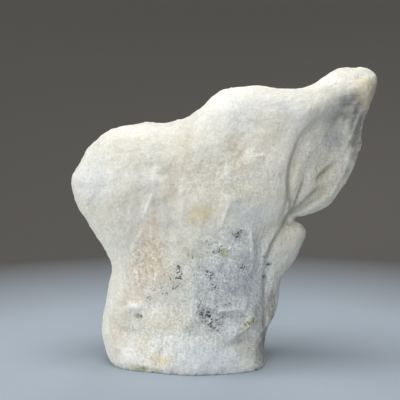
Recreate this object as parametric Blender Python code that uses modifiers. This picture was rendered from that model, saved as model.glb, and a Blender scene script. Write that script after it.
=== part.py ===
"""A free-standing piece of white marble: a broad upright slab that swells to a shoulder on the left and
sweeps up to a thin hooked tip on the right, with a folded wing and a small fin under it, on a cut foot.

Metres. X runs to the right, Y away from the viewer and Z up. The origin is on the surface that the
stone stands on, under the middle of its box. All the sizes below are in millimetres."""

import bmesh
import bpy
import numpy as np
from mathutils import Vector, noise

MM = 0.001

# The sizes that drive the stone.
HEIGHT = 300.0
WIDTH = 310.0

# How the stone is meshed.
SLAB_HALF = 20.0
OUTLINE_STEP = 2.5
CURVE_STEPS = 16
SLAB_VOXEL = 2.0
SKIN_VOXEL = 2.4
SMOOTHING = 0.5
SMOOTHING_PASSES = 3
LAST_SMOOTHING = 0.3
TRIANGLES = 9500
SHARP_ANGLE = 0.9

# The natural unevenness: how far it moves the surface, and over what length it repeats.
LUMP_HEIGHT = 1.2
BACK_LUMP_HEIGHT = 6.0
LUMP_SIZE = 42.0
KNOB_HEIGHT = 0.9
KNOB_SIZE = 14.0
FLUTE_HEIGHT = 1.1
FLUTE_WIDTH = 13.0
FLUTE_DEPTH = 30.0
FLUTE_LENGTH = 90.0
FAN_CENTRE = (-30.0, -300.0)
FAN_RADIUS = 450.0
FLUTES_FROM = 30.0
FLUTES_FULL = 120.0

# The worn edge round the foot.
FOOT_WEAR = 2.6
FOOT_WEAR_HEIGHT = 7.0
FOOT_SNAP = 0.5

# The outline from the front, clockwise from the foot's left end, as (X, Z).
OUTLINE = (
    (-110, -24),
    (-117.5, 0),
    (-121, 15),
    (-124, 31),
    (-123.5, 48),
    (-121, 61),
    (-118, 77),
    (-112.5, 95),
    (-114.5, 106),
    (-123, 119),
    (-137.5, 140),
    (-149.5, 157),
    (-154, 172),
    (-156.5, 184),
    (-154, 195),
    (-146, 208),
    (-136, 221),
    (-124, 230),
    (-110, 237.5),
    (-95, 242),
    (-76, 244.5),
    (-62, 243),
    (-51, 245),
    (-36, 249.5),
    (-21, 259.5),
    (-12, 270),
    (2, 279),
    (23, 283),
    (46, 281.5),
    (59, 279.5),
    (73, 278.5),
    (91, 280.5),
    (104, 289.5),
    (117, 297.5),
    (134, 300),
    (146, 298),
    (154, 293),
    (156.5, 285),
    (152.5, 267),
    (149.5, 255),
    (147, 243),
    (146, 221),
    (142, 209),
    (137.5, 198),
    (133.5, 188),
    (124, 173.5),
    (113, 157.5),
    (95, 150),
    (78, 148),
    (65.5, 147),
    (65.5, 144.5),
    (75, 142.5),
    (82, 140),
    (88, 133.5),
    (87.5, 126),
    (81.5, 117),
    (74, 104),
    (68, 94),
    (61.5, 86),
    (59, 73),
    (59, 59),
    (56, 47),
    (49.5, 36),
    (46, 22),
    (45.5, 6),
    (44, -24),
)

# How deep the stone is, as (X, Z, depth of the front, depth of the back, how wide its edge rounds off).
STATIONS = (
    (-35, -10, -52, 48, 30),
    (-100, 0, -34, 34, 26),
    (22, 0, -42, 46, 16),
    (-35, 50, -47, 44, 34),
    (-95, 60, -30, 32, 28),
    (24, 50, -40, 46, 16),
    (-35, 110, -44, 38, 34),
    (-90, 120, -28, 28, 28),
    (24, 110, -38, 40, 22),
    (52, 60, -8, 42, 9),
    (70, 120, -2, 36, 10),
    (-120, 185, -24, 36, 36),
    (-85, 190, -36, 38, 38),
    (-60, 225, -30, 42, 38),
    (-20, 175, -44, 40, 36),
    (25, 170, -42, 36, 34),
    (0, 240, -32, 44, 42),
    (45, 240, -28, 44, 42),
    (58, 185, -28, 34, 20),
    (84, 260, -23, 36, 26),
    (92, 205, 2, 34, 16),
    (98, 170, 10, 34, 11),
    (122, 205, 14, 38, 20),
    (124, 240, 6, 38, 24),
    (122, 281, -20, 30, 24),
    (146, 270, -18, 26, 18),
)
STATION_SOFTNESS = 15.0
THINNEST_EDGE = 7.0
THINNEST_BACK_EDGE = 24.0

# Lines along which the front folds, as (reach, ((X, Z, height), ...)). A fold fades out within its reach on
# both sides. Where its height is negative it is a furrow. A narrow fold is sharp on its line.
SHARP_FOLD_REACH = 12.0
FRONT_FOLDS = (
    # The tip's rolled rim, and its nose that hangs down at the end.
    (
        15,
        (
            (88, 246, 0),
            (99, 253, 2),
            (111, 262, 4),
            (123, 271, 5),
            (134, 276, 6),
            (143, 270, 7),
            (148, 256, 5),
        ),
    ),
    # The deepest place in the hollow under the rim.
    (20, ((98, 236, 0), (110, 250, -2), (119, 257, -3), (126, 250, -2), (128, 238, 0))),
    # The pleats of the wing, which meet at the notch.
    (6, ((88, 198, 0), (84, 186, -2), (79, 174, -3), (73, 160, -4), (69, 151, -4))),
    (9, ((70, 150, -4), (81, 156, -9), (93, 164.5, -11), (104, 173, -10), (113, 181, -6), (119, 188, 0))),
    (7, ((95, 181, 0), (102, 188, -5), (112, 197, -6), (121, 205, -4), (127, 212, 0))),
    (11, ((70, 168, 0), (73, 182, 3), (78, 198, 4), (86, 214, 3), (92, 226, 0))),
    (11, ((125, 208, 0), (121, 197, 3), (113, 184, 4), (104, 171, 4), (92, 160, 3))),
    # The valley beside the fin.
    (8, ((59, 158, 0), (51, 144, -4), (39, 128, -5), (35, 115, -4), (34, 95, 0))),
    # The dark blade's edge on the wing's right, and the body's lip beside the wing.
    (9, ((139, 256, 0), (136, 248, 1), (134, 238, 2), (132, 226, 1), (134, 214, 0))),
    (15, ((104, 264, 0), (92, 257, 3), (81, 247, 5), (72, 235, 5), (65, 220, 4), (60, 204, 3), (57, 188, 0))),
    # The curved furrow under the crest, and the rounded lobe on its right.
    (17, ((44, 268, 0), (26, 256, -1), (17, 240, -2), (12, 221, -2), (10, 205, -1), (10, 188, 0))),
    (32, ((52, 250, 0), (46, 230, 2), (41, 205, 2), (38, 180, 0))),
    # The flutes of the body, from left to right.
    (9, ((-66, 214, 0), (-65, 190, 1), (-66, 177, 2), (-72, 163, 2), (-80, 151, 1), (-84, 144, 0))),
    (7, ((-76, 149, 0), (-82, 133, 2), (-91, 117, 1))),
    (8, ((-90, 156, 0), (-94, 135, 2), (-97, 118, 0))),
    (26, ((-40, 232, 0), (-46, 216, -1), (-51, 198, -1), (-52, 178, -1), (-58, 150, 0))),
    (8, ((-41, 200, 0), (-41, 180, 1), (-41, 150, 1), (-42, 136, 0))),
    (10, ((5, 176, 0), (3, 166, 1), (0, 152, 1), (-3, 130, 0))),
    (9, ((24, 146, 0), (25, 134, 2), (28, 114, 2), (29, 92, 0))),
    (22, ((-16, 132, 0), (-20, 104, -3), (-16, 70, 0))),
    (24, ((-58, 124, 0), (-62, 90, 3), (-64, 50, 0))),
    (16, ((8, 110, 0), (6, 88, 3), (2, 70, 0))),
    # A knob low on the left, the pit beside it, and a small peak over the upper ledge.
    (9, ((-88, 64, 3), (-84, 66, 3))),
    (7, ((-84, 56, -3), (-80, 54, -2))),
    (12, ((4, 68, 0), (12, 70, 2), (22, 68, 3), (28, 64, 0))),
)

# Lines along which the front steps down, as (reach, softness, ((X, Z, drop), ...)). The drop is on the right
# hand side of the line, going along it. It goes down over the softness, and comes back up within the reach.
FRONT_STEPS = (
    # The wing lies back from the body.
    (
        34,
        1,
        (
            (50, 138, 0),
            (57, 150, 6),
            (60, 162, 9),
            (61.5, 178, 11),
            (63, 193, 12),
            (66.5, 207, 11),
            (71.5, 222, 8),
            (77, 232, 6),
            (84, 241, 4),
            (92, 248, 0),
        ),
    ),
    # The hollow lies back from the tip's rolled rim.
    (
        110,
        9,
        (
            (95, 224, 0),
            (99, 236, 4),
            (105, 247, 9),
            (114, 257, 13),
            (124, 265, 14),
            (131, 266, 11),
            (136, 258, 6),
            (139, 249, 0),
        ),
    ),
    # The fin lies back from the body.
    (18, 1, ((41, 20, 3), (39, 60, 7), (40, 88, 9), (42, 108, 10), (49, 125, 9), (58, 137, 7), (66, 147, 3))),
    # The wing's right edge turns away.
    (40, 4, ((103, 156, 0), (109, 164, 3), (117, 178, 4), (124, 190, 5), (130, 202, 4), (132, 212, 3))),
    (40, 3, ((130, 206, 0), (131, 220, 2), (133, 236, 3), (135, 248, 3), (138, 258, 0))),
    # The two ledges low on the right.
    (18, 1, ((-12, 61, 0), (-3, 61.5, 6), (10, 62, 8), (20, 61, 7), (28, 58, 0))),
    (22, 1, ((-6, 27, 0), (4, 33, 4), (16, 40, 7), (28, 47, 7), (37, 52, 0))),
    # A shallow ledge low on the left.
    (16, 1, ((-116, 52, 2), (-104, 44, 4), (-92, 40, 3), (-78, 38, 0))),
)

# The same two kinds of line on the back.
BACK_FOLDS = (
    (20, ((128, 284, 0), (112, 262, 6), (94, 236, 9), (80, 204, 8), (74, 170, 4))),
    (24, ((30, 272, 0), (20, 236, 6), (30, 196, 7), (22, 148, 5), (2, 104, 0))),
    (18, ((-22, 254, 0), (-8, 220, -6), (-14, 176, -8), (-34, 132, -6), (-40, 96, 0))),
    (28, ((-66, 238, 0), (-78, 204, 5), (-70, 166, 6), (-88, 120, 0))),
    (16, ((-124, 214, 0), (-112, 186, -5), (-108, 150, -5), (-96, 118, 0))),
    (16, ((-60, 82, 0), (-42, 66, 5), (-16, 58, 4), (4, 62, 0))),
    (18, ((126, 250, -4), (118, 226, -7), (104, 200, 0))),
    (11, ((104, 194, 0), (92, 174, -6), (80, 160, -3))),
)
BACK_STEPS = (
    (30, 1, ((38, 76, 0), (46, 112, 6), (52, 152, 10), (58, 196, 10), (60, 236, 8), (74, 270, 0))),
    (18, 1, ((-74, 70, 0), (-56, 58, 6), (-30, 50, 7), (-8, 49, 4), (6, 54, 0))),
    (14, 1, ((-112, 44, 0), (-98, 36, 4), (-82, 38, 4), (-70, 46, 0))),
    (20, 1, ((-66, 96, 0), (-50, 124, 5), (-50, 160, 6), (-40, 196, 4), (-48, 226, 0))),
)


def smooth_outline():
    """The outline as a smooth closed curve with points OUTLINE_STEP apart, in millimetres."""
    knots = np.array(OUTLINE, float)
    before, after, beyond = (np.roll(knots, shift, axis=0) for shift in (1, -1, -2))
    fine = []
    for t in np.linspace(0, 1, CURVE_STEPS, endpoint=False):
        bend = 2 * before - 5 * knots + 4 * after - beyond
        twist = 3 * knots - before - 3 * after + beyond
        fine.append(0.5 * (2 * knots + (after - before) * t + bend * t**2 + twist * t**3))
    fine = np.stack(fine, axis=1).reshape(-1, 2)
    fine = np.concatenate([fine, fine[:1]])
    run = np.concatenate([[0], np.cumsum(np.linalg.norm(np.diff(fine, axis=0), axis=1))])
    stops = np.linspace(0, run[-1], int(run[-1] / OUTLINE_STEP), endpoint=False)
    return np.stack([np.interp(stops, run, fine[:, axis]) for axis in (0, 1)], axis=1)


def nearest_on_path(points, path):
    """For each point, how far the path is, where along it the nearest place lies, as a segment's number and
    a share of that segment, and whether the point is on the path's right hand side."""
    far = np.full(len(points), np.inf)
    place = np.zeros(len(points))
    right = np.zeros(len(points), bool)
    for i, (a, b) in enumerate(zip(path[:-1], path[1:])):
        along = b - a
        share = np.clip((points - a) @ along / (along @ along), 0, 1)
        gap = np.linalg.norm(points - a - share[:, None] * along, axis=1)
        closer = gap < far
        far[closer] = gap[closer]
        place[closer] = i + share[closer]
        right[closer] = (points[closer] - a) @ np.array([along[1], -along[0]]) > 0
    return far, place, right


def fade(share, sharp):
    """How much of a fold's height is left at this share of its reach."""
    share = np.clip(share, 0, 1)
    return (1 - share) ** 2 if sharp else (1 - share**2) ** 2


def relief(points, folds, steps):
    """How far the folds and steps raise the surface at each (X, Z) point, in millimetres."""
    total = np.zeros(len(points))
    for reach, marks in folds:
        far, height, right = line_height(points, marks)
        total += height * fade(far / reach, sharp=reach < SHARP_FOLD_REACH)
    for reach, softness, marks in steps:
        far, height, right = line_height(points, marks)
        down = np.clip(far / softness, 0, 1)
        drop = height * down**2 * (3 - 2 * down) * fade(far / reach, sharp=True)
        total -= np.where(right, drop, 0)
    return total


def line_height(points, marks):
    """How far the line of (X, Z, height) marks is from each point, how high it is at its nearest place, and
    whether the point is on its right hand side."""
    marks = np.array(marks, float)
    far, place, right = nearest_on_path(points, marks[:, :2])
    return far, np.interp(place, np.arange(len(marks)), marks[:, 2]), right


def station_values(points):
    """The front depth, back depth and edge width at each (X, Z) point, on a smooth surface through the
    stations."""
    stations = np.array(STATIONS, float)
    places, values = stations[:, :2], stations[:, 2:]

    def spread(where):
        gap = np.linalg.norm(where[:, None] - places, axis=2)
        return np.sqrt(gap**2 + STATION_SOFTNESS**2)

    mean = values.mean(axis=0)
    weights = np.linalg.solve(spread(places), values - mean)
    front, back, edge = (mean + spread(points) @ weights).T
    return front, back, np.maximum(edge, THINNEST_EDGE)


def slab(outline):
    """A flat slab of the outline's shape, evenly meshed."""
    curve = bpy.data.curves.new("outline", "CURVE")
    curve.dimensions = "2D"
    curve.fill_mode = "BOTH"
    curve.extrude = SLAB_HALF * MM
    spline = curve.splines.new("POLY")
    spline.points.add(len(outline) - 1)
    for point, (x, z) in zip(spline.points, outline):
        point.co = (x * MM, z * MM, 0, 1)
    spline.use_cyclic_u = True
    guide = bpy.data.objects.new("outline", curve)
    guide.rotation_euler = (np.pi / 2, 0, 0)
    bpy.context.scene.collection.objects.link(guide)
    bpy.context.view_layer.update()
    mesh = bpy.data.meshes.new_from_object(guide.evaluated_get(bpy.context.evaluated_depsgraph_get()))
    mesh.transform(guide.matrix_world)
    bpy.data.objects.remove(guide)
    weld(mesh)
    return remeshed(mesh, SLAB_VOXEL)


def weld(mesh):
    """Joins the curve's caps to its sides."""
    bm = bmesh.new()
    bm.from_mesh(mesh)
    bmesh.ops.remove_doubles(bm, verts=bm.verts, dist=0.0001)
    bmesh.ops.recalc_face_normals(bm, faces=bm.faces)
    bm.to_mesh(mesh)
    bm.free()


def modified(mesh, kind, **settings):
    """The mesh after one modifier of this kind."""
    holder = bpy.data.objects.new("holder", mesh)
    bpy.context.scene.collection.objects.link(holder)
    modifier = holder.modifiers.new(kind, kind)
    for name, value in settings.items():
        setattr(modifier, name, value)
    bpy.context.view_layer.update()
    result = bpy.data.meshes.new_from_object(holder.evaluated_get(bpy.context.evaluated_depsgraph_get()))
    bpy.data.objects.remove(holder)
    return result


def remeshed(mesh, voxel):
    """The mesh made again with even faces, voxel millimetres a side."""
    return modified(mesh, "REMESH", mode="VOXEL", voxel_size=voxel * MM)


def points_of(mesh):
    """The mesh's points, in millimetres."""
    co = np.empty(len(mesh.vertices) * 3)
    mesh.vertices.foreach_get("co", co)
    return co.reshape(-1, 3) / MM


def normals_of(mesh):
    normals = np.empty(len(mesh.vertices) * 3)
    mesh.vertex_normals.foreach_get("vector", normals)
    return normals.reshape(-1, 3)


def set_points(mesh, points):
    mesh.vertices.foreach_set("co", (points * MM).astype(np.float32).ravel())
    mesh.update()


def swell(mesh, outline):
    """Gives the slab the stone's depth: its front and back bulge from the outline, with their relief."""
    points = points_of(mesh)
    flat = points[:, [0, 2]]
    front, back, edge = station_values(flat)
    closed = np.concatenate([outline, outline[:1]])
    side = np.clip(points[:, 1] / SLAB_HALF, -1, 1)
    edge = np.where(side < 0, edge, np.maximum(edge, THINNEST_BACK_EDGE))
    inset = nearest_on_path(flat, closed)[0] / edge
    bulge = np.sqrt(1 - (1 - np.clip(inset, 0, 1)) ** 2)
    middle = (front + back) / 2
    front = front - relief(flat, FRONT_FOLDS, FRONT_STEPS)
    back = back + relief(flat, BACK_FOLDS, BACK_STEPS)
    reach = np.where(side < 0, middle - front, back - middle)
    points[:, 1] = middle + side * bulge * reach
    set_points(mesh, points)


def noise_at(points):
    """Smooth noise between about -1 and 1 at each point."""
    return np.array([noise.noise(Vector(point)) for point in points])


def roughen(mesh):
    """Natural lumps and knobs, and long flutes that fan out upwards from under the foot."""
    points = points_of(mesh)
    x, y, z = points.T
    fan = np.arctan2(x - FAN_CENTRE[0], z - FAN_CENTRE[1]) * FAN_RADIUS
    flutes = noise_at(np.stack([fan / FLUTE_WIDTH, y / FLUTE_DEPTH, z / FLUTE_LENGTH], axis=1))
    flutes *= np.clip((z - FLUTES_FROM) / (FLUTES_FULL - FLUTES_FROM), 0, 1)
    height = FLUTE_HEIGHT * flutes
    # 0 on the front, 1 on the back and halfway on the sides.
    backward = (normals_of(mesh)[:, 1] + 1) / 2
    lump_height = LUMP_HEIGHT + (BACK_LUMP_HEIGHT - LUMP_HEIGHT) * backward
    height += lump_height * noise_at(points / LUMP_SIZE)
    height += KNOB_HEIGHT * noise_at(points / KNOB_SIZE)
    set_points(mesh, points + normals_of(mesh) * height[:, None])


def wear_foot(mesh):
    """Draws the sides in a little where they come down to the foot, so that its edge is worn round."""
    points = points_of(mesh)
    worn = np.clip(1 - points[:, 2] / FOOT_WEAR_HEIGHT, 0, 1) ** 2
    points[:, :2] -= normals_of(mesh)[:, :2] * (FOOT_WEAR * worn)[:, None]
    set_points(mesh, points)


def cut_foot(mesh):
    """Cuts the stone off flat where it stands."""
    bm = bmesh.new()
    bm.from_mesh(mesh)
    cut = bmesh.ops.bisect_plane(
        bm,
        geom=bm.verts[:] + bm.edges[:] + bm.faces[:],
        dist=FOOT_SNAP * MM,
        plane_co=(0, 0, 0),
        plane_no=(0, 0, -1),
        use_snap_center=True,
        clear_outer=True,
    )
    rim = [element for element in cut["geom_cut"] if isinstance(element, bmesh.types.BMEdge)]
    bmesh.ops.holes_fill(bm, edges=rim)
    bmesh.ops.triangulate(bm, faces=bm.faces)
    bmesh.ops.recalc_face_normals(bm, faces=bm.faces)
    bm.to_mesh(mesh)
    bm.free()


def centred(mesh):
    """Fits the stone's box to its width and height, with the origin under the middle of the box."""
    points = points_of(mesh)
    low, high = points.min(0), points.max(0)
    points -= [(low[0] + high[0]) / 2, (low[1] + high[1]) / 2, 0]
    points[:, 0] *= WIDTH / (high[0] - low[0])
    points[:, 2] *= HEIGHT / high[2]
    set_points(mesh, points)


def marble_material():
    material = bpy.data.materials.new("marble")
    material.use_nodes = True
    shader = material.node_tree.nodes["Principled BSDF"]
    shader.inputs["Base Color"].default_value = (0.72, 0.71, 0.66, 1)
    shader.inputs["Roughness"].default_value = 0.55
    shader.inputs["Metallic"].default_value = 0
    return material


def marble_mesh():
    """The whole stone as one closed mesh."""
    outline = smooth_outline()
    mesh = slab(outline)
    swell(mesh, outline)
    mesh = remeshed(mesh, SKIN_VOXEL)
    mesh = modified(mesh, "SMOOTH", factor=SMOOTHING, iterations=SMOOTHING_PASSES)
    roughen(mesh)
    wear_foot(mesh)
    mesh = modified(mesh, "TRIANGULATE")
    mesh = modified(mesh, "DECIMATE", ratio=TRIANGLES / len(mesh.polygons))
    mesh = modified(mesh, "SMOOTH", factor=LAST_SMOOTHING, iterations=1)
    cut_foot(mesh)
    centred(mesh)
    return mesh


def build():
    for obj in list(bpy.data.objects):
        bpy.data.objects.remove(obj)
    collection = bpy.data.collections.new("marble_stone")
    bpy.context.scene.collection.children.link(collection)
    stone = bpy.data.objects.new("marble", marble_mesh())
    stone.data.name = "marble"
    stone.data.materials.clear()
    stone.data.materials.append(marble_material())
    stone.data.shade_smooth()
    stone.data.set_sharp_from_angle(angle=SHARP_ANGLE)
    collection.objects.link(stone)


build()
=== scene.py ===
"""The looks of the free-standing white marble stone: its fine surface, its stains and dark specks, a plain
pale floor, soft studio light and the camera.

The stone's own sizes and places below are in millimetres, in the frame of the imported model: X runs to the
right, Y away from the viewer and Z up. The studio's are in metres."""

from math import radians

import bpy
import numpy as np
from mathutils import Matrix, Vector, noise


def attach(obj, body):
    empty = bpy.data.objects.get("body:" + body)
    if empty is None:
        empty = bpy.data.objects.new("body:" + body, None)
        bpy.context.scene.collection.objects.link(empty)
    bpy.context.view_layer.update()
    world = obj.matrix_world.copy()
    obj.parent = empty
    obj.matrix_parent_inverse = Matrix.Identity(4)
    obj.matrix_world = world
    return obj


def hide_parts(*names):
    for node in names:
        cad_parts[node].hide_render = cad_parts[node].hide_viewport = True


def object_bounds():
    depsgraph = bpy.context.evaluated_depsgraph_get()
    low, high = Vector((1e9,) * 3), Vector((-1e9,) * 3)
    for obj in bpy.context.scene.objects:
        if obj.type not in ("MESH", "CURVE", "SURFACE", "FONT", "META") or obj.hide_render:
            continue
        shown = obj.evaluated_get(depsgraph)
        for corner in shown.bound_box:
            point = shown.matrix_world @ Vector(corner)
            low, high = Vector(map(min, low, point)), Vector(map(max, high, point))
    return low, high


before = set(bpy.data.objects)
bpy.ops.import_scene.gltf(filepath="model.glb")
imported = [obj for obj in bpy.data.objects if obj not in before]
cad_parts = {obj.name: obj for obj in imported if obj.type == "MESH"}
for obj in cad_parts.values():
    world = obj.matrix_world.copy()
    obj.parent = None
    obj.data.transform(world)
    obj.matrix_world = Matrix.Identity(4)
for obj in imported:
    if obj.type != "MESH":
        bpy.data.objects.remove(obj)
cad_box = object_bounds()

MM = 0.001

# The middle of values that run from 0 to 1 on each axis.
MIDDLE = (0.5, 0.5, 0.5)

# How the stone's fine mesh is made.
SKIN_VOXEL = 1.56
SMOOTHING = 0.5
SMOOTHING_PASSES = 8
FACET_SMOOTHING_PASSES = 2

# How its curvature is read, for the painted highlight on its ridges and the painted shade in its hollows.
CURVATURE_PASSES = 20
CURVATURE_RANGE = 0.5

# How sharply the front's marks end where the stone turns away from the viewer.
FRONT_SHARPNESS = 1.2

# Lines that fan out upwards from a point far under the foot, as the grain of the stone does.
FAN_CENTRE = (-30.0, -300.0)
FAN_RADIUS = 450.0

# The fine relief: how far it moves the surface, and over what lengths it repeats. Three lengths are across
# the grain, through the stone and along the grain.
STRIA_HEIGHT = 0.16
STRIA_SIZE = (5.5, 14.0, 48.0)
FLUTE_HEIGHT = 0.45
FLUTE_SIZE = (13.0, 24.0, 80.0)
LUMP_HEIGHT = 0.35
LUMP_SIZE = 9.0
GRAIN_HEIGHT = 0.28
GRAIN_SIZE = 3.0

# The striae and flutes begin at the first of these heights, and are full from the second up.
GRAIN_FROM = 50.0
GRAIN_FULL = 130.0

# The broken facets: how steeply they tilt, how large they are, and the seed of each one's own tilt.
FACET_TILT = 0.045
FACET_SIZE = (13.0, 16.0, 21.0)
SMALL_FACET_TILT = 0.07
SMALL_FACET_SIZE = (4.5, 5.0, 6.0)
FACET_SEED = 9.7

# The fine lines wander by up to about a millimetre, over this length.
WANDER_SIZE = 9.0

# The chips along the foot's edge, and how far up the foot they reach.
CHIP_DEPTH = 2.6
CHIP_SIZE = 7.0
CHIP_REACH = 13.0

# What is lower than this and faces down is made flat.
FLAT_FOOT = 1.2
FOOT_FACING = -0.5

# The noises are looked up this far from each other, so that no two match.
FLUTE_SHIFT = 20
CHIP_SHIFT = 30
GRAIN_SHIFT = 40
SMALL_FACET_SHIFT = 50
WANDER_SHIFTS = (70, 80)
RIM_SHIFTS = (3, 7)
PATCH_SHIFT = 10

# Fine lines on the front, as (reach, ((X, Z, height), ...)). Where its height is negative it is a crack.
FINE_LINES = (
    # Thin bright ridges on the left.
    (3.5, ((-66, 206, 0), (-67, 199, 0.7), (-68, 176, 0.9), (-72, 166, 1.4), (-78, 152, 1.0))),
    (2.5, ((-75, 150, 0.3), (-82, 134, 0.8), (-91, 117, 0.4))),
    (2.5, ((-90, 153, 0), (-94, 135, 0.5), (-97, 119, 0))),
    (3.5, ((-39, 196, 0), (-40, 180, 0.9), (-40.5, 160, 0.9), (-42, 140, 0))),
    (3.5, ((5, 172, 0), (3, 162, 1.1), (0, 152, 1.1), (-2, 140, 0))),
    (3.5, ((25, 146, 0), (27, 130, 1.0), (28, 113, 0.8), (29, 96, 0))),
    # The crease between the body and the wing, down to the foot.
    (3.5, ((74, 226, 0), (69, 214, -0.4), (66, 202, -0.5), (65, 190, -0.8), (65, 178, -1.0), (67, 167, -1))),
    (3.0, ((67, 167, -0.6), (68, 155, -1.0), (62, 144, -1.2), (52, 129, -1.0), (42, 112, -0.6))),
    (3.0, ((41, 96, 0), (42, 88, -1.0), (41, 70, -0.6), (41, 40, -0.5), (41, 20, 0))),
    # The pleats of the wing.
    (3.0, ((70, 154, -1.2), (74, 166, -1.2), (78, 177, -1.0), (84, 192, 0))),
    (3.5, ((72, 155, -1.2), (85, 167, -1.2), (96, 176.5, -1.2), (104, 182, 0))),
    (3.0, ((93, 184, 0), (99, 190, -1.2), (108, 198, -1.2), (119, 208, 0))),
    (2.5, ((112, 178, 0), (100, 168, -0.6), (86, 160, -0.6), (76, 153, 0))),
    # The wing's blades, where they turn away.
    (4.0, ((110, 161, 0), (116, 176, 0.8), (122, 187, 0.8), (128, 199, 1.0), (130, 210, 0.8), (133, 222, 0))),
    (4.0, ((131, 226, 0), (132, 232, 0.8), (136, 247, 1.0), (138, 260, 0))),
    # The ledges low on the right.
    (3.0, ((-9, 62.5, 0), (-1, 63, 1.2), (11, 63.5, 1.4), (21, 62, 1.2), (29, 59, 0))),
    (3.0, ((-3, 29.5, 0), (7, 35, 1.0), (17, 41.5, 1.2), (29, 48, 1.0), (37, 52, 0))),
    # A small knob low on the left, which gets a painted highlight, and the pit beside it.
    (5.5, ((-91, 64, 1.8), (-84, 63, 1.8))),
    (3.0, ((-84, 55, -1.4), (-82, 53, -1.0))),
)

# The cracks hold grime and painted shade, this many times as wide as they are.
CRACK_DIRT_AND_SHADE_WIDENING = 1.6

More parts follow.
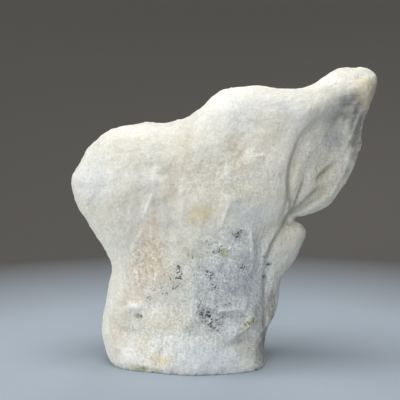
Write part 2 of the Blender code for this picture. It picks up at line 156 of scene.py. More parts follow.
# Colour marks on the front, as (X, Z, half width, half height, strength). Each fades out at its rim.
MARKS = {
    "cool": (
        (11, 80, 60, 90, 0.9),
        (-14, 14, 46, 26, 1.0),
        (-29, 20, 60, 34, 0.5),
        (40, 250, 70, 30, 0.4),
        (23, 150, 26, 46, 0.6),
        (-129, 190, 26, 40, 0.5),
    ),
    "haze": (
        (-18.5, 57.5, 13, 13, 1.0),
        (-9, 50, 14, 12, 0.7),
        (-8, 78, 22, 24, 0.4),
        (13, 137, 12, 9, 0.8),
        (-7, 121, 8, 6, 0.4),
        (-33, 119, 8, 8, 0.3),
        (-44, 102, 5, 9, 0.3),
        (-49, 91, 7, 9, 0.35),
        (-10, 88, 8, 8, 0.35),
        (-13, 99, 6, 5, 0.3),
        (-22, 71, 8, 7, 0.3),
        (-31, 45, 9, 7, 0.4),
        (16, 111, 12, 14, 0.4),
        (-4, 58, 14, 12, 0.5),
        (42, 89, 3.5, 8, 0.9),
        (46, 101, 6, 5, 0.4),
        (-83, 54, 6, 4, 0.3),
        (-74, 72, 9, 8, 0.3),
        (42, 12, 7, 12, 0.5),
    ),
    "specks": (
        (-6, 90, 44, 50, 0.5),
        (28, 90, 26, 50, 0.4),
        (-50, 92, 34, 30, 0.4),
        (-60, 120, 30, 30, 0.3),
        (33, 18, 26, 26, 0.5),
        (-4, 20, 40, 20, 0.35),
        (-52, 190, 26, 30, 0.3),
        (-10, 190, 50, 30, 0.3),
        (45, 190, 30, 40, 0.3),
        (112, 214, 34, 40, 0.35),
        (-80, 40, 30, 30, 0.35),
        (-20, 90, 110, 100, 0.25),
        (40, 200, 110, 110, 0.2),
        (-2, 70, 40, 36, 0.55),
        (-40, 96, 30, 26, 0.5),
        (30, 110, 20, 40, 0.45),
    ),
    "clusters": (
        (13, 138, 9, 6, 1.5),
        (16, 132, 7, 5, 0.7),
        (-7, 120, 7, 6, 0.6),
        (-4, 129, 3.5, 4, 0.6),
        (4.5, 127, 6, 2.5, 0.6),
        (-16, 128, 7, 6, 0.45),
        (-32, 115, 7, 6, 0.5),
        (-44, 102, 4, 9, 0.8),
        (-50, 94, 4.5, 6.5, 0.8),
        (-48, 87, 5.5, 5, 1.0),
        (-69, 82.5, 4, 3, 1.0),
        (-58.5, 82, 6, 7, 0.6),
        (-74, 99, 6, 6, 0.5),
        (-13, 99, 6, 5, 0.7),
        (-10, 87, 7, 7, 0.8),
        (-22, 70, 7, 7, 0.6),
        (-29, 95, 4, 5, 0.6),
        (-18.5, 57, 9, 9, 1.7),
        (-9, 49, 12, 10, 0.85),
        (-31, 45, 8, 6, 0.45),
        (19, 104.5, 6, 7, 0.6),
        (-82, 55, 4.5, 4, 0.8),
        (-90, 43, 8, 5, 0.4),
        (-74, 72, 10, 9, 0.5),
        (27, 49, 5, 4, 0.8),
        (42, 88.5, 3, 7, 1.0),
        (46, 101, 6, 5, 0.7),
        (43, 112, 5, 5, 0.5),
    ),
    # Painted shade: darker colour under the tip, along the wing's edge that turns away, on the wing's lower
    # facets, below the fin and on the foot's right side, where the light doesn't reach.
    "shade": (
        (128, 270, 9, 6, 0.9),
        (120, 265, 10, 7, 0.7),
        (113, 257, 8, 8, 0.4),
        (118, 250, 16, 14, 0.4),
        (127, 252, 10, 13, 0.6),
        (139, 255, 12, 17, 1.5),
        (138, 240, 13, 17, 1.5),
        (138, 225, 11, 14, 1.0),
        (139, 212, 9, 10, 0.7),
        (128, 193, 8, 12, 0.4),
        (120, 178, 8, 10, 0.4),
        (112, 165, 8, 7, 0.4),
        (49, 58, 8, 26, 0.8),
        (43, 20, 11, 30, 1.2),
        (36, 16, 12, 22, 0.9),
        (36, 48, 10, 26, 0.6),
        (21, 35, 18, 8, 0.4),
    ),
    "blue": (
        (17, 84, 30, 40, 0.6),
        (-17, 78, 18, 18, 0.5),
        (-10, 92, 20, 36, 0.5),
        (-4, 97, 16, 14, 0.7),
        (34, 60, 12, 40, 0.6),
        (-20, 60, 16, 14, 0.5),
        (7, 54, 24, 10, 0.6),
        (9, 52, 14, 8, 0.4),
        (114, 228, 17, 15, 0.9),
        (116, 248, 20, 18, 0.5),
        (57, 259, 9, 8, 0.4),
        (-31, 46, 12, 9, 0.5),
        (1, 98, 18, 16, 0.35),
        (31, 70, 16, 22, 0.5),
        (23, 28, 22, 16, 0.5),
        (-77, 182, 16, 9, 0.3),
        (15, 160, 16, 30, 0.3),
        (21, 120, 22, 26, 0.35),
    ),
    "tan": (
        (-38, 229, 15, 12, 0.8),
        (-50, 178, 11, 18, 1.0),
        (-40, 205, 20, 26, 0.5),
        (-16, 198, 16, 22, 0.5),
        (-102, 171, 18, 10, 0.4),
        (-81, 210, 12, 9, 0.3),
        (11, 213, 11, 11, 1.0),
        (-61, 116, 12, 16, 0.6),
        (16, 202, 12, 12, 0.7),
        (31, 199, 16, 12, 0.3),
        (14, 222, 12, 16, 0.6),
        (-105, 46, 14, 18, 0.5),
        (-13, 50, 14, 9, 0.4),
        (21, 26, 14, 9, 0.5),
        (109, 190, 22, 18, 0.4),
    ),
    "cream": (
        (47, 235, 30, 30, 0.6),
        (72, 196, 16, 46, 0.7),
        (106, 186, 30, 30, 0.7),
        (-82, 229, 10, 10, 0.5),
        (-50, 226, 34, 12, 0.3),
        (-19, 160, 40, 26, 0.35),
        (34, 174, 30, 18, 0.7),
    ),
    "yellow": (
        (-21, 157, 16, 11, 1.0),
        (-31, 151, 10, 7, 0.7),
        (15, 179, 10, 10, 0.4),
        (-62, 14, 14, 9, 0.9),
        (-77, 28, 14, 14, 0.3),
        (-61, 49, 16, 12, 0.35),
    ),
    "flesh": (
        (-67, 148, 8, 18, 0.8),
        (-79, 136, 10, 13, 0.95),
        (-61, 97, 11, 15, 0.8),
        (-73, 121, 16, 23, 0.85),
        (-75, 108, 20, 18, 0.9),
        (-80, 92, 19, 18, 0.8),
        (-89, 77, 14, 16, 0.6),
        (-98, 63, 8, 14, 0.5),
        (-106, 34, 10, 20, 0.7),
        (-105, 18, 9, 10, 0.5),
    ),
    "ochre": (
        (-68, 143, 5, 8, 0.6),
        (-67, 120, 7, 10, 0.8),
        (-61, 108, 7, 10, 0.9),
        (-73, 110, 6, 9, 0.6),
        (-75, 97, 8, 8, 0.6),
    ),
    "olive": (
        (-2, 121, 7, 5.5, 1.1),
        (16.5, 43.5, 7, 4.5, 0.8),
        (22, 46, 6.5, 4.5, 1.1),
        (28, 49, 5.5, 4, 1.1),
        (-90, 1, 12, 4, 0.9),
        (-80, 4, 12, 5, 1.0),
        (-65, 2, 8, 3.5, 0.6),
        (82, 136, 4, 3.5, 0.6),
        (-35, 118, 7, 7, 0.3),
    ),
    "amber": (
        (141, 279, 17, 14, 1.0),
        (143, 266, 11, 14, 1.0),
        (133, 285, 12, 7, 0.4),
        (136, 271, 12, 9, 0.8),
    ),
    "rough": (
        (5, 80, 70, 90, 1.0),
        (-72, 104, 34, 44, 0.8),
        (-60, 40, 60, 50, 0.6),
        (100, 196, 44, 56, 0.4),
        (10, 190, 60, 40, 0.35),
    ),
    # Whiter patches of the stone, and partly painted light: some of these brighten faces that turn from the
    # light, on the slope between the body and the wing, on a blade of the wing and on the small knob low on
    # the left.
    "white": (
        (-84, 62, 12, 9, 1.0),
        (-61, 58, 15, 12, 0.7),
        (-65, 23, 13, 9, 0.7),
        (-50, 32, 14, 11, 0.5),
        (-16, 28, 22, 8, 0.5),
        (-108, 193, 46, 13, 0.8),
        (-70, 187, 34, 10, 0.6),
        (-92, 236, 50, 12, 0.8),
        (6, 268, 56, 24, 0.9),
        (48, 262, 40, 18, 0.6),
        (98, 286, 34, 12, 0.8),
        (-56, 22, 62, 24, 0.9),
        (-93, 22, 12, 22, 0.5),
        (68, 220, 22, 60, 1.0),
        (46, 168, 20, 40, 0.9),
        (84, 186, 16, 34, 0.9),
        (128, 206, 5, 12, 0.6),
        (0, 18, 20, 10, 0.7),
        (-66, 190, 12, 14, 0.7),
        (5, 156, 6, 14, 0.4),
        (-29, 138, 14, 8, 0.3),
        (-83, 140, 5, 20, 0.3),
        (53, 190, 20, 32, 0.5),
        (-74, 159, 4, 11, 0.8),
        (16, 252, 26, 16, 0.8),
        (36, 176, 20, 34, 0.8),
        (80, 212, 16, 30, 0.8),
        (-88, 20, 22, 14, 1.0),
        (-4, 22, 16, 10, 0.8),
        (-120, 186, 28, 30, 0.7),
        (10, 262, 60, 18, 0.5),
    ),
}

# How noise moves the marks' rims, as (how far to each side, over what length it repeats).
MARK_WARPS = ((3.5, 12.0), (1.5, 4.5))

# The same kinds of mark on the back, as (half size of the patches, share of the back, strength).
BACK_PATCHES = {
    "cool": (50, 0.3, 0.5),
    "haze": (14, 0.07, 0.4),
    "specks": (34, 0.25, 0.3),
    "clusters": (12, 0.04, 0.8),
    "rough": (60, 0.3, 0.5),
    "blue": (40, 0.25, 0.4),
    "tan": (30, 0.25, 0.4),
    "cream": (46, 0.5, 0.5),
    "yellow": (20, 0.16, 0.7),
    "flesh": (32, 0.2, 0.7),
    "ochre": (14, 0.08, 0.5),
    "olive": (9, 0.08, 0.6),
    "white": (40, 0.5, 0.8),
}
PATCH_OCTAVES = 3
PATCH_SHARPNESS = 4

# The stone's colours.
WARM_WHITE = (0.85, 0.83, 0.725, 1)
COOL_WHITE = (0.83, 0.83, 0.78, 1)
CLEAR_GREY = (0.61, 0.605, 0.53, 1)
# A painted highlight, on ridges and along the raised lines.
HIGHLIGHT_WHITE = (0.90, 0.895, 0.87, 1)
# Painted shade in the stone's hollows, and grime with painted shade along its cracks.
HOLLOW_SHADE = (0.50, 0.475, 0.40, 1)
CRACK_DIRT_AND_SHADE = (0.30, 0.28, 0.22, 1)
# The colours of the marks. The shade colour is painted shade, and the white colour is partly painted light.
MARK_COLOURS = {
    "white": (0.93, 0.92, 0.87, 1),
    "cool": (0.69, 0.74, 0.78, 1),
    "blue": (0.40, 0.44, 0.48, 1),
    "shade": (0.24, 0.235, 0.225, 1),
    "tan": (0.62, 0.57, 0.45, 1),
    "cream": (0.80, 0.765, 0.64, 1),
    "yellow": (0.74, 0.65, 0.41, 1),
    "flesh": (0.74, 0.62, 0.49, 1),
    "ochre": (0.63, 0.54, 0.40, 1),
    "amber": (0.73, 0.63, 0.37, 1),
    "olive": (0.33, 0.34, 0.07, 1),
    "haze": (0.34, 0.355, 0.365, 1),
}
SPECK_COLOUR = (0.03, 0.033, 0.037, 1)

# The marks whose rims are soft: some stains, the painted shade, and the white marks, which are partly painted
# light. The others' rims are ragged.
SOFT_RIMMED_MARKS = ("cool", "cream", "amber", "white", "shade")

# The strength at which a mark, stains and painted shade alike, has its full colour.
FULL_MARK = 1.1

# The textures. Each is noise that repeats over its size, and the part of it in span is stretched to result.
CLOUDS = {"size": 40, "detail": 5, "span": (0.38, 0.62)}
STREAKS = {
    "size": 8, "detail": 5, "roughness": 0.65, "distortion": 0.5, "span": (0.45, 0.75), "result": (0, 0.5),
}
BLOTCHES = {"size": 9, "detail": 6, "roughness": 0.75, "span": (0.5, 0.72), "result": (0, 0.65)}
MOTTLING = {"size": 3.2, "detail": 5, "roughness": 0.8, "span": (0.42, 0.62), "result": (0, 0.33)}
COARSE_RIMS = {"size": 6, "detail": 6, "roughness": 0.8, "span": (0.34, 0.66), "result": (0.35, 1.35)}
FINE_RIMS = {"size": 2, "detail": 5, "roughness": 0.8, "span": (0.32, 0.68), "result": (0.6, 1.4)}
SOFT_RIMS = {"size": 12, "detail": 4, "span": (0.35, 0.65), "result": (0.75, 1.2)}
CRYSTALS = {"size": 2.4, "detail": 3, "roughness": 0.7, "span": (0.3, 0.7), "result": (0.6, 1.3)}
FIBRES = {"size": 2.6, "detail": 3, "roughness": 0.7, "span": (0.3, 0.7), "result": (0.9, 1.1)}
SPECK_CROWDS = {"size": 5, "detail": 4, "roughness": 0.8, "span": (0.35, 0.65), "result": (0.3, 1.5)}
GLOSS = {"size": 3, "detail": 4, "span": (0.3, 0.7), "result": (0.42, 0.72)}

# Along the grain, textures are this much longer.
GRAIN_SQUEEZE = (1, 1, 0.16)

# The cleavage faces: their size, how far and over what length their edges bend, and how much they differ.
FACE_SIZE = 6
FACE_BEND = 4.0
FACE_BEND_SIZE = 5
FACE_STRENGTH = 0.45

# Painted highlight on ridges, painted shade in hollows, grime and painted shade in cracks, and painted
# highlight on the raised lines, as (from, to, share at from, share at to). The first two go by the curvature.
RIDGE_HIGHLIGHT = (0.1, 1.0, 0.0, 0.5)
HOLLOW_SHADE_SHARE = (-0.1, -1.0, 0.0, 0.35)
CRACK_DIRT_AND_SHADE_SHARE = (0.0, 1.0, 0.0, 0.7)
LINE_HIGHLIGHT = (0.0, 1.2, 0.0, 0.8)

# How strongly the crystals show, in the same form, from where the stone is smooth to where it is rough.
CRYSTAL_SHARE = (0.0, 1.0, 0.3, 1.15)

# The dark specks: how far apart they are, and how wide they get as they crowd together, as a share of that.
SPECK_SPACINGS = (3.1, 2.0)
SPECK_REACH = (0.05, 1.1, 0.0, 0.6)

# Each speck's own size, from half to whole, how soft its rim is, and how dark it is.
SPECK_SIZES = (0.0, 1.0, 0.5, 1.0)
SPECK_RIM = 0.1
SPECK_STRENGTH = 0.85

# The finest relief, which is only shaded.
BUMP_GRAINS = {"size": 1.6, "detail": 4, "roughness": 0.7}
BUMP_FIBRES = {"size": 3.2, "detail": 3}
BUMP_FIBRE_SHARE = 1.2
BUMP_HEIGHT = 0.9

# How light goes a little way into the marble.
INNER_LIGHT = 0.12
INNER_LIGHT_REACH = 3.0
INNER_LIGHT_COLOUR = (1.0, 0.8, 0.55)
MARBLE_IOR = 1.5


def modified(mesh, kind, **settings):
    """The mesh after one modifier of this kind."""
    holder = bpy.data.objects.new("holder", mesh)
    bpy.context.scene.collection.objects.link(holder)
    modifier = holder.modifiers.new(kind, kind)
    for name, value in settings.items():
        setattr(modifier, name, value)
    bpy.context.view_layer.update()
    result = bpy.data.meshes.new_from_object(holder.evaluated_get(bpy.context.evaluated_depsgraph_get()))
    bpy.data.objects.remove(holder)
    return result


def smoothed(mesh, passes):
    return modified(mesh, "SMOOTH", factor=SMOOTHING, iterations=passes)


def points_of(mesh):
    """The mesh's points, in millimetres."""
    co = np.empty(len(mesh.vertices) * 3)
    mesh.vertices.foreach_get("co", co)
    return co.reshape(-1, 3) / MM


def normals_of(mesh):
    normals = np.empty(len(mesh.vertices) * 3)
    mesh.vertex_normals.foreach_get("vector", normals)
    return normals.reshape(-1, 3)


def set_points(mesh, points):
    mesh.vertices.foreach_set("co", (points * MM).astype(np.float32).ravel())
    mesh.update()


def push(mesh, height):
    """Moves each point along its normal by its height."""
    set_points(mesh, points_of(mesh) + normals_of(mesh) * height[:, None])


def fanned(points):
    """The points in the grain's own axes: across it, through the stone and along it."""
    x, y, z = points.T
    across = np.arctan2(x - FAN_CENTRE[0], z - FAN_CENTRE[1]) * FAN_RADIUS
    return np.stack([across, y, z], axis=1)


def soft_noise(points):
    """Smooth noise between about -1 and 1."""
    return np.array([noise.noise(Vector(point)) for point in points])


def rough_noise(points, octaves=4):
    """Noise with finer detail in it, between about -1 and 1."""
    return np.array([noise.fractal(Vector(point), 1.0, 2.0, octaves) for point in points])


def facets(points):
    """The height of flat facets, each tilted its own way about its middle."""
    heights = []
    for point in points:
        middle = noise.voronoi(Vector(point))[1][0]
        tilt = noise.cell_vector(middle * FACET_SEED) - Vector(MIDDLE)
        heights.append(2 * tilt.dot(Vector(point) - middle))
    return np.array(heights)


def nearest_on_path(points, path):
    """For each point, how far the path is, and where along it the nearest place lies, as a segment's number
    and a share of that segment."""
    far = np.full(len(points), np.inf)
    place = np.zeros(len(points))
    for i, (a, b) in enumerate(zip(path[:-1], path[1:])):
        along = b - a
        share = np.clip((points - a) @ along / (along @ along), 0, 1)
        gap = np.linalg.norm(points - a - share[:, None] * along, axis=1)
        closer = gap < far
        far[closer] = gap[closer]
        place[closer] = i + share[closer]
    return far, place


def fine_lines(flat, widening=1.0):
    """How far the fine lines raise the surface at each (X, Z) point. Widening makes them all broader."""
    height = np.zeros(len(flat))
    for reach, marks in FINE_LINES:
        marks = np.array(marks, float)
        far, place = nearest_on_path(flat, marks[:, :2])
        share = np.clip(far / (reach * widening), 0, 1)
        height += np.interp(place, np.arange(len(marks)), marks[:, 2]) * (1 - share) ** 2
    return height


def frontness(mesh):
    """1 where the stone faces the viewer, 0 where it faces away, and in between on its sides."""
    return np.clip(0.5 - FRONT_SHARPNESS * normals_of(mesh)[:, 1], 0, 1)


def carve(mesh):
    """The grain's striae and flutes, broken facets, lumps and fine lines."""
    points = points_of(mesh)
    grain = fanned(points)
    height = STRIA_HEIGHT * soft_noise(grain / STRIA_SIZE)
    height += FLUTE_HEIGHT * soft_noise(grain / FLUTE_SIZE + FLUTE_SHIFT)
    height *= np.clip((points[:, 2] - GRAIN_FROM) / (GRAIN_FULL - GRAIN_FROM), 0, 1)
    height += LUMP_HEIGHT * rough_noise(points / LUMP_SIZE)
    height += FACET_TILT * FACET_SIZE[0] * facets(grain / FACET_SIZE)
    height += SMALL_FACET_TILT * SMALL_FACET_SIZE[0] * facets(grain / SMALL_FACET_SIZE + SMALL_FACET_SHIFT)
    wander = np.stack([soft_noise(points / WANDER_SIZE + shift) for shift in WANDER_SHIFTS], axis=1)
    height += fine_lines(points[:, [0, 2]] + wander) * frontness(mesh)
    push(mesh, height)


def chip_foot(mesh):
    """Small chips out of the edge that the stone stands on."""
    points = points_of(mesh)
    low = np.clip(1 - points[:, 2] / CHIP_REACH, 0, 1)
    chips = np.clip(rough_noise(points / CHIP_SIZE + CHIP_SHIFT), 0, 1) * low
    sideways = normals_of(mesh) * (1, 1, 0)
    set_points(mesh, points - sideways * (CHIP_DEPTH * chips)[:, None])


def roughen(mesh):
    """The crystals' fine roughness."""
    push(mesh, GRAIN_HEIGHT * soft_noise(points_of(mesh) / GRAIN_SIZE + GRAIN_SHIFT))


def fit_to_box(mesh):
    """Flattens the foot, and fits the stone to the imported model's box."""
    points = points_of(mesh)
    low, high = (np.array(corner) / MM for corner in cad_box)
    flat = (normals_of(mesh)[:, 2] < FOOT_FACING) & (points[:, 2] < FLAT_FOOT)
    points[flat, 2] = 0
    points[:, 2] = np.maximum(points[:, 2], 0)
    share = (points - points.min(0)) / (points.max(0) - points.min(0))
    set_points(mesh, low + share * (high - low))


def curvature(mesh):
    """From -1 in the stone's hollows to 1 on its ridges."""
    away = points_of(mesh) - points_of(smoothed(mesh, CURVATURE_PASSES))
    return np.clip((away * normals_of(mesh)).sum(axis=1) / CURVATURE_RANGE, -1, 1)


def store(mesh, name, values):
    attribute = mesh.attributes.new(name, "FLOAT", "POINT")
    attribute.data.foreach_set("value", values.astype(np.float32))


def mark_strength(flat, marks):
    """How strong the strongest of the marks is at each (X, Z) point."""
    strength = np.zeros(len(flat))
    for x, z, half_width, half_height, most in marks:
        far = np.hypot((flat[:, 0] - x) / half_width, (flat[:, 1] - z) / half_height)
        strength = np.maximum(strength, most * (1 - np.clip(far, 0, 1) ** 3) ** 2)
    return strength


def paint(mesh):
    """Stores where each kind of mark is, and how the surface curves."""
    points = points_of(mesh)
    front = frontness(mesh)
    flat = points[:, [0, 2]]
    for far, size in MARK_WARPS:
        flat = flat + far * np.stack([rough_noise(points / size + shift) for shift in RIM_SHIFTS], axis=1)
    for number, (name, marks) in enumerate(MARKS.items()):
        strength = mark_strength(flat, marks) * front
        if name in BACK_PATCHES:
            size, share, most = BACK_PATCHES[name]
            patches = rough_noise(points / size + PATCH_SHIFT * number, PATCH_OCTAVES)
            edge = np.quantile(patches, 1 - share)
            strength += np.clip((patches - edge) * PATCH_SHARPNESS, 0, 1) * most * (1 - front)
        store(mesh, name, strength)
    places = points[:, [0, 2]]
    # Grime and painted shade along the cracks, and painted highlight along the raised lines.
    store(mesh, "crack_dirt_and_shade", np.clip(-fine_lines(places, CRACK_DIRT_AND_SHADE_WIDENING), 0, 1) * front)
    store(mesh, "line_highlight", np.clip(fine_lines(places), 0, 1) * front)
    store(mesh, "curve", curvature(mesh))
    grain = mesh.attributes.new("grain", "FLOAT_VECTOR", "POINT")
    grain.data.foreach_set("vector", fanned(points).astype(np.float32).ravel())


class Shading:
    """A material's nodes, each added by a short call."""

    def __init__(self, name):
        self.material = bpy.data.materials.new(name)
        self.material.use_nodes = True
        self.tree = self.material.node_tree
        self.shader = self.tree.nodes["Principled BSDF"]

    def add(self, kind, inputs, **settings):
        """A node of this kind. An input is a value, or another node's output."""
        node = self.tree.nodes.new("ShaderNode" + kind)
        for name, value in settings.items():
            setattr(node, name, value)
        for name, value in inputs.items():
            self.put(node.inputs[name], value)
        return node

    def put(self, socket, value):
        if isinstance(value, bpy.types.NodeSocket):
            self.tree.links.new(value, socket)
        else:
            socket.default_value = value

    def attribute(self, name, kind="Fac"):
        return self.add("Attribute", {}, attribute_name=name).outputs[kind]

    def noise(self, where, size, detail=4.0, roughness=0.6, distortion=0.0):
        """Noise from 0 to 1 that repeats over about size, in the place's own units."""
        inputs = {"Vector": where, "Scale": 1 / size, "Detail": detail, "Roughness": roughness}
        return self.add("TexNoise", {**inputs, "Distortion": distortion}).outputs[0]

    def noise_vector(self, where, size, most):
        """A vector that noise turns this way and that, up to about most long."""
        colour = self.add("TexNoise", {"Vector": where, "Scale": 1 / size}).outputs["Color"]
        turned = self.add("VectorMath", {0: colour, 1: MIDDLE}, operation="SUBTRACT").outputs[0]
        return self.add("VectorMath", {0: turned, "Scale": 2 * most}, operation="SCALE").outputs[0]

    def cells(self, where, size):
        """How far the nearest of many scattered points is, in sizes, and that point's own colour."""
        texture = self.add("TexVoronoi", {"Vector": where, "Scale": 1 / size})
        return texture.outputs["Distance"], texture.outputs["Color"]

    def ramp(self, value, low, high, new_low=0.0, new_high=1.0):
        """The value with low to high stretched to new_low to new_high, and cut off there."""
        inputs = {"Value": value, "From Min": low, "From Max": high, "To Min": new_low, "To Max": new_high}
        return self.add("MapRange", inputs).outputs[0]

    def texture(self, where, size, span, result=(0.0, 1.0), **settings):
        """Noise with the part of it in span stretched to result, and cut off there."""
        return self.ramp(self.noise(where, size, **settings), *span, *result)

    def math(self, operation, a, b):
        return self.add("Math", {0: a, 1: b}, operation=operation).outputs[0]

    def mix(self, share, a, b, blend="MIX"):
        """Colour a turning to colour b."""
        return self.add("Mix", {0: share, 6: a, 7: b}, data_type="RGBA", blend_type=blend).outputs[2]


def own_whites(s, place, along_grain):
    """The stone's own whites: soft clouds, clearer streaks, blotches and mottling, and cleavage faces."""
    colour = s.mix(s.texture(place, **CLOUDS), WARM_WHITE, COOL_WHITE)
    for where, texture in ((along_grain, STREAKS), (place, BLOTCHES), (place, MOTTLING)):
        colour = s.mix(s.texture(where, **texture), colour, CLEAR_GREY)
    bend = s.noise_vector(place, FACE_BEND_SIZE, FACE_BEND)
    bent = s.add("VectorMath", {0: along_grain, 1: bend}, operation="ADD").outputs[0]
    face = s.ramp(s.cells(bent, FACE_SIZE)[1], 0.0, 1.0, 0.0, FACE_STRENGTH)
    return s.mix(face, colour, CLEAR_GREY)


def stains_and_painted_light(s, colour, ragged, soft):
    """The colour with the marks in it: stains, painted shade, and white patches that are partly painted
    light.
    """
    for name, mark_colour in MARK_COLOURS.items():
        rim = soft if name in SOFT_RIMMED_MARKS else ragged
        strength = s.math("MULTIPLY", s.attribute(name), rim)
        colour = s.mix(s.ramp(strength, 0.0, FULL_MARK), colour, mark_colour)
    return colour


def painted_light_and_crack_dirt(s, colour, fine, ragged):
    """The colour with painted highlight on ridges and raised lines, painted shade in hollows, and grime and
    painted shade in cracks.
    """
    curve = s.attribute("curve")
    crack_dirt_and_shade = s.math("MULTIPLY", s.attribute("crack_dirt_and_shade"), fine)
    line_highlight = s.math("MULTIPLY", s.attribute("line_highlight"), ragged)
    colour = s.mix(s.ramp(curve, *RIDGE_HIGHLIGHT), colour, HIGHLIGHT_WHITE)
    colour = s.mix(s.ramp(curve, *HOLLOW_SHADE_SHARE), colour, HOLLOW_SHADE)
    colour = s.mix(s.ramp(crack_dirt_and_shade, *CRACK_DIRT_AND_SHADE_SHARE), colour, CRACK_DIRT_AND_SHADE)
    return s.mix(s.ramp(line_highlight, *LINE_HIGHLIGHT), colour, HIGHLIGHT_WHITE)


def crystalline(s, colour, place, along_grain):
    """The colour with crystals that are a little lighter or darker than their neighbours."""
    tone = s.math("MULTIPLY", s.texture(place, **CRYSTALS), s.texture(along_grain, **FIBRES))
    grey = s.add("CombineColor", {0: tone, 1: tone, 2: tone}).outputs[0]
    share = s.ramp(s.attribute("rough"), *CRYSTAL_SHARE)
    return s.mix(share, colour, s.mix(1.0, colour, grey, "MULTIPLY"))


def specked(s, colour, place):
    """The colour with dark specks, which crowd together in clusters."""
    thick = s.math("ADD", s.attribute("specks"), s.attribute("clusters"))
    thick = s.math("MULTIPLY", thick, s.texture(place, **SPECK_CROWDS))
    for spacing in SPECK_SPACINGS:
        far, own_colour = s.cells(place, spacing)
        reach = s.math("MULTIPLY", s.ramp(thick, *SPECK_REACH), s.ramp(own_colour, *SPECK_SIZES))
        share = s.ramp(s.math("SUBTRACT", reach, far), 0.0, SPECK_RIM, 0.0, SPECK_STRENGTH)
        colour = s.mix(share, colour, SPECK_COLOUR)
    return colour


def marble_material():
    s = Shading("white_marble")
    position = s.add("TexCoord", {}).outputs["Object"]
    place = s.add("VectorMath", {0: position, "Scale": 1 / MM}, operation="SCALE").outputs[0]
    grain = s.attribute("grain", "Vector")
    along_grain = s.add("VectorMath", {0: grain, 1: GRAIN_SQUEEZE}, operation="MULTIPLY").outputs[0]
    fine = s.texture(along_grain, **FINE_RIMS)
    ragged = s.math("MULTIPLY", s.texture(place, **COARSE_RIMS), fine)
    soft = s.texture(place, **SOFT_RIMS)

    colour = own_whites(s, place, along_grain)
    colour = stains_and_painted_light(s, colour, ragged, soft)
    colour = painted_light_and_crack_dirt(s, colour, fine, ragged)
    colour = crystalline(s, colour, place, along_grain)
    colour = specked(s, colour, place)
    s.put(s.shader.inputs["Base Color"], colour)
    s.put(s.shader.inputs["Roughness"], s.texture(place, **GLOSS))

    fibres = s.math("MULTIPLY", s.noise(along_grain, **BUMP_FIBRES), BUMP_FIBRE_SHARE)
    height = s.math("ADD", s.noise(place, **BUMP_GRAINS), fibres)
    bump = s.add("Bump", {"Height": height, "Strength": 1.0, "Distance": BUMP_HEIGHT * MM})
    s.put(s.shader.inputs["Normal"], bump.outputs[0])

    s.put(s.shader.inputs["Subsurface Weight"], INNER_LIGHT)
    s.put(s.shader.inputs["Subsurface Radius"], INNER_LIGHT_COLOUR)
    s.put(s.shader.inputs["Subsurface Scale"], INNER_LIGHT_REACH * MM)
    s.put(s.shader.inputs["IOR"], MARBLE_IOR)
    return s.material


def marble_stone():
    """The stone with its fine surface, in place of the plain packed one."""
    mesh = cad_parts["marble"].data.copy()
    mesh = modified(mesh, "REMESH", mode="VOXEL", voxel_size=SKIN_VOXEL * MM)
    mesh = smoothed(mesh, SMOOTHING_PASSES)
    carve(mesh)
    chip_foot(mesh)
    mesh = smoothed(mesh, FACET_SMOOTHING_PASSES)
    roughen(mesh)
    fit_to_box(mesh)
    paint(mesh)
    mesh.materials.clear()
    mesh.materials.append(marble_material())
    mesh.shade_smooth()
    stone = bpy.data.objects.new("marble_stone", mesh)
    bpy.context.scene.collection.objects.link(stone)
    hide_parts("marble")
    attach(stone, "root")


# The studio, in metres.
FLOOR_RADIUS = 0.75
COVE_RADIUS = 0.6
PALE_RADIUS = 0.3
DARK_RADIUS = 0.75
WALL_HEIGHT = 2.6
FLOOR_MIDDLE_RADIUS = 0.0001
STUDIO_SIDES = 96
COVE_STEPS = 16
FLOOR_COLOUR = (0.34, 0.395, 0.46, 1)
WALL_COLOUR = (0.10, 0.095, 0.09, 1)
PAPER_ROUGHNESS = 0.9
PAPER_SHINE = 0.2
WORLD_COLOUR = (1.0, 0.995, 0.98, 1)
WORLD_STRENGTH = 0.12

# The lights, as (name, place, watts). They aim at the stone's middle.
LIGHTS = (
    ("top", (0, -0.21, 1.635), 18.2),
    ("left", (-1.477, 0, 0.41), 14),
    ("front", (0, -1.477, 0.41), 10.5),
    ("back", (0.3, 1.3, 0.9), 5.5),
)
LIGHT_AIM = (0, 0, 0.15)
LIGHT_SIZE = 0.9
LIGHT_COLOUR = (1.0, 0.99, 0.97)

# The camera stands where the stone looks as it should, about level with its upper half.
CAMERA_PLACE = (-0.0231, -0.75, 0.2215)
CAMERA_PITCH = 4.2
CAMERA_LENS = 66.7
CAMERA_SENSOR = 36.0


def turned(name, profile):
    """A surface turned about the upright axis, from a profile of (radius, Z) points."""
    mesh = bpy.data.meshes.new(name)
    angles = np.linspace(0, 2 * np.pi, STUDIO_SIDES, endpoint=False)
    points = [(r * np.cos(a), r * np.sin(a), z) for r, z in profile for a in angles]
    faces = []
    for ring in range(len(profile) - 1):
        for side in range(STUDIO_SIDES):
            a = ring * STUDIO_SIDES + side
            b = ring * STUDIO_SIDES + (side + 1) % STUDIO_SIDES
            faces.append((a, b, b + STUDIO_SIDES, a + STUDIO_SIDES))
    mesh.from_pydata(points, [], faces)
    mesh.shade_smooth()
    turned_object = bpy.data.objects.new(name, mesh)
    bpy.context.scene.collection.objects.link(turned_object)
    return turned_object


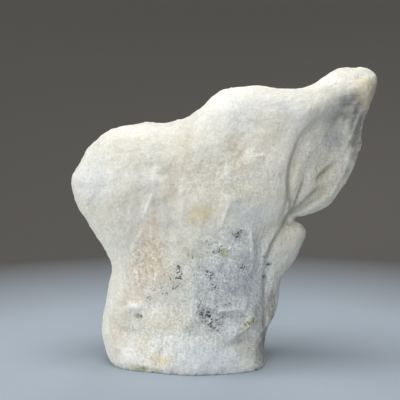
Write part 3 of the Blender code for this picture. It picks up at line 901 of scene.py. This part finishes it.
def paper_material():
    """Matt paper: pale about the stone, and darker out towards the wall."""
    s = Shading("paper")
    place = s.add("TexCoord", {}).outputs["Object"]
    axes = s.add("SeparateXYZ", {0: place})
    squares = [s.math("POWER", axis, 2) for axis in axes.outputs[:2]]
    radius = s.math("SQRT", s.math("ADD", *squares), 0)
    away = s.ramp(radius, PALE_RADIUS, DARK_RADIUS)
    s.put(s.shader.inputs["Base Color"], s.mix(away, FLOOR_COLOUR, WALL_COLOUR))
    s.put(s.shader.inputs["Roughness"], PAPER_ROUGHNESS)
    s.put(s.shader.inputs["Specular IOR Level"], PAPER_SHINE)
    return s.material


def studio():
    """A round floor that curves up into a wall."""
    paper = paper_material()
    floor = turned("floor", [(FLOOR_MIDDLE_RADIUS, 0), (FLOOR_RADIUS, 0)])
    turn = np.linspace(0, np.pi / 2, COVE_STEPS)
    cove = [(FLOOR_RADIUS + COVE_RADIUS * np.sin(t), COVE_RADIUS * (1 - np.cos(t))) for t in turn]
    wall = turned("wall", cove + [(FLOOR_RADIUS + COVE_RADIUS, WALL_HEIGHT)])
    # The wall only shows: it keeps no light off the stone, and throws none on it.
    wall.visible_diffuse = False
    wall.visible_glossy = False
    wall.visible_shadow = False
    for surface in (floor, wall):
        surface.data.materials.append(paper)


def area_light(name, place, watts):
    light = bpy.data.lights.new(name, "AREA")
    light.shape = "DISK"
    light.size = LIGHT_SIZE
    light.energy = watts
    light.color = LIGHT_COLOUR
    lamp = bpy.data.objects.new(name, light)
    lamp.location = place
    lamp.rotation_euler = (Vector(LIGHT_AIM) - Vector(place)).to_track_quat("-Z", "Y").to_euler()
    bpy.context.scene.collection.objects.link(lamp)


def lights():
    world = bpy.data.worlds.new("studio")
    world.use_nodes = True
    background = world.node_tree.nodes["Background"]
    background.inputs["Color"].default_value = WORLD_COLOUR
    background.inputs["Strength"].default_value = WORLD_STRENGTH
    bpy.context.scene.world = world
    for name, place, watts in LIGHTS:
        area_light(name, place, watts)


def camera():
    data = bpy.data.cameras.new("camera")
    data.sensor_width = CAMERA_SENSOR
    data.lens = CAMERA_LENS
    eye = bpy.data.objects.new("camera", data)
    eye.location = CAMERA_PLACE
    eye.rotation_euler = (radians(90 - CAMERA_PITCH), 0, 0)
    bpy.context.scene.collection.objects.link(eye)
    bpy.context.scene.camera = eye


marble_stone()
studio()
lights()
camera()
bpy.context.scene.view_settings.view_transform = "Standard"
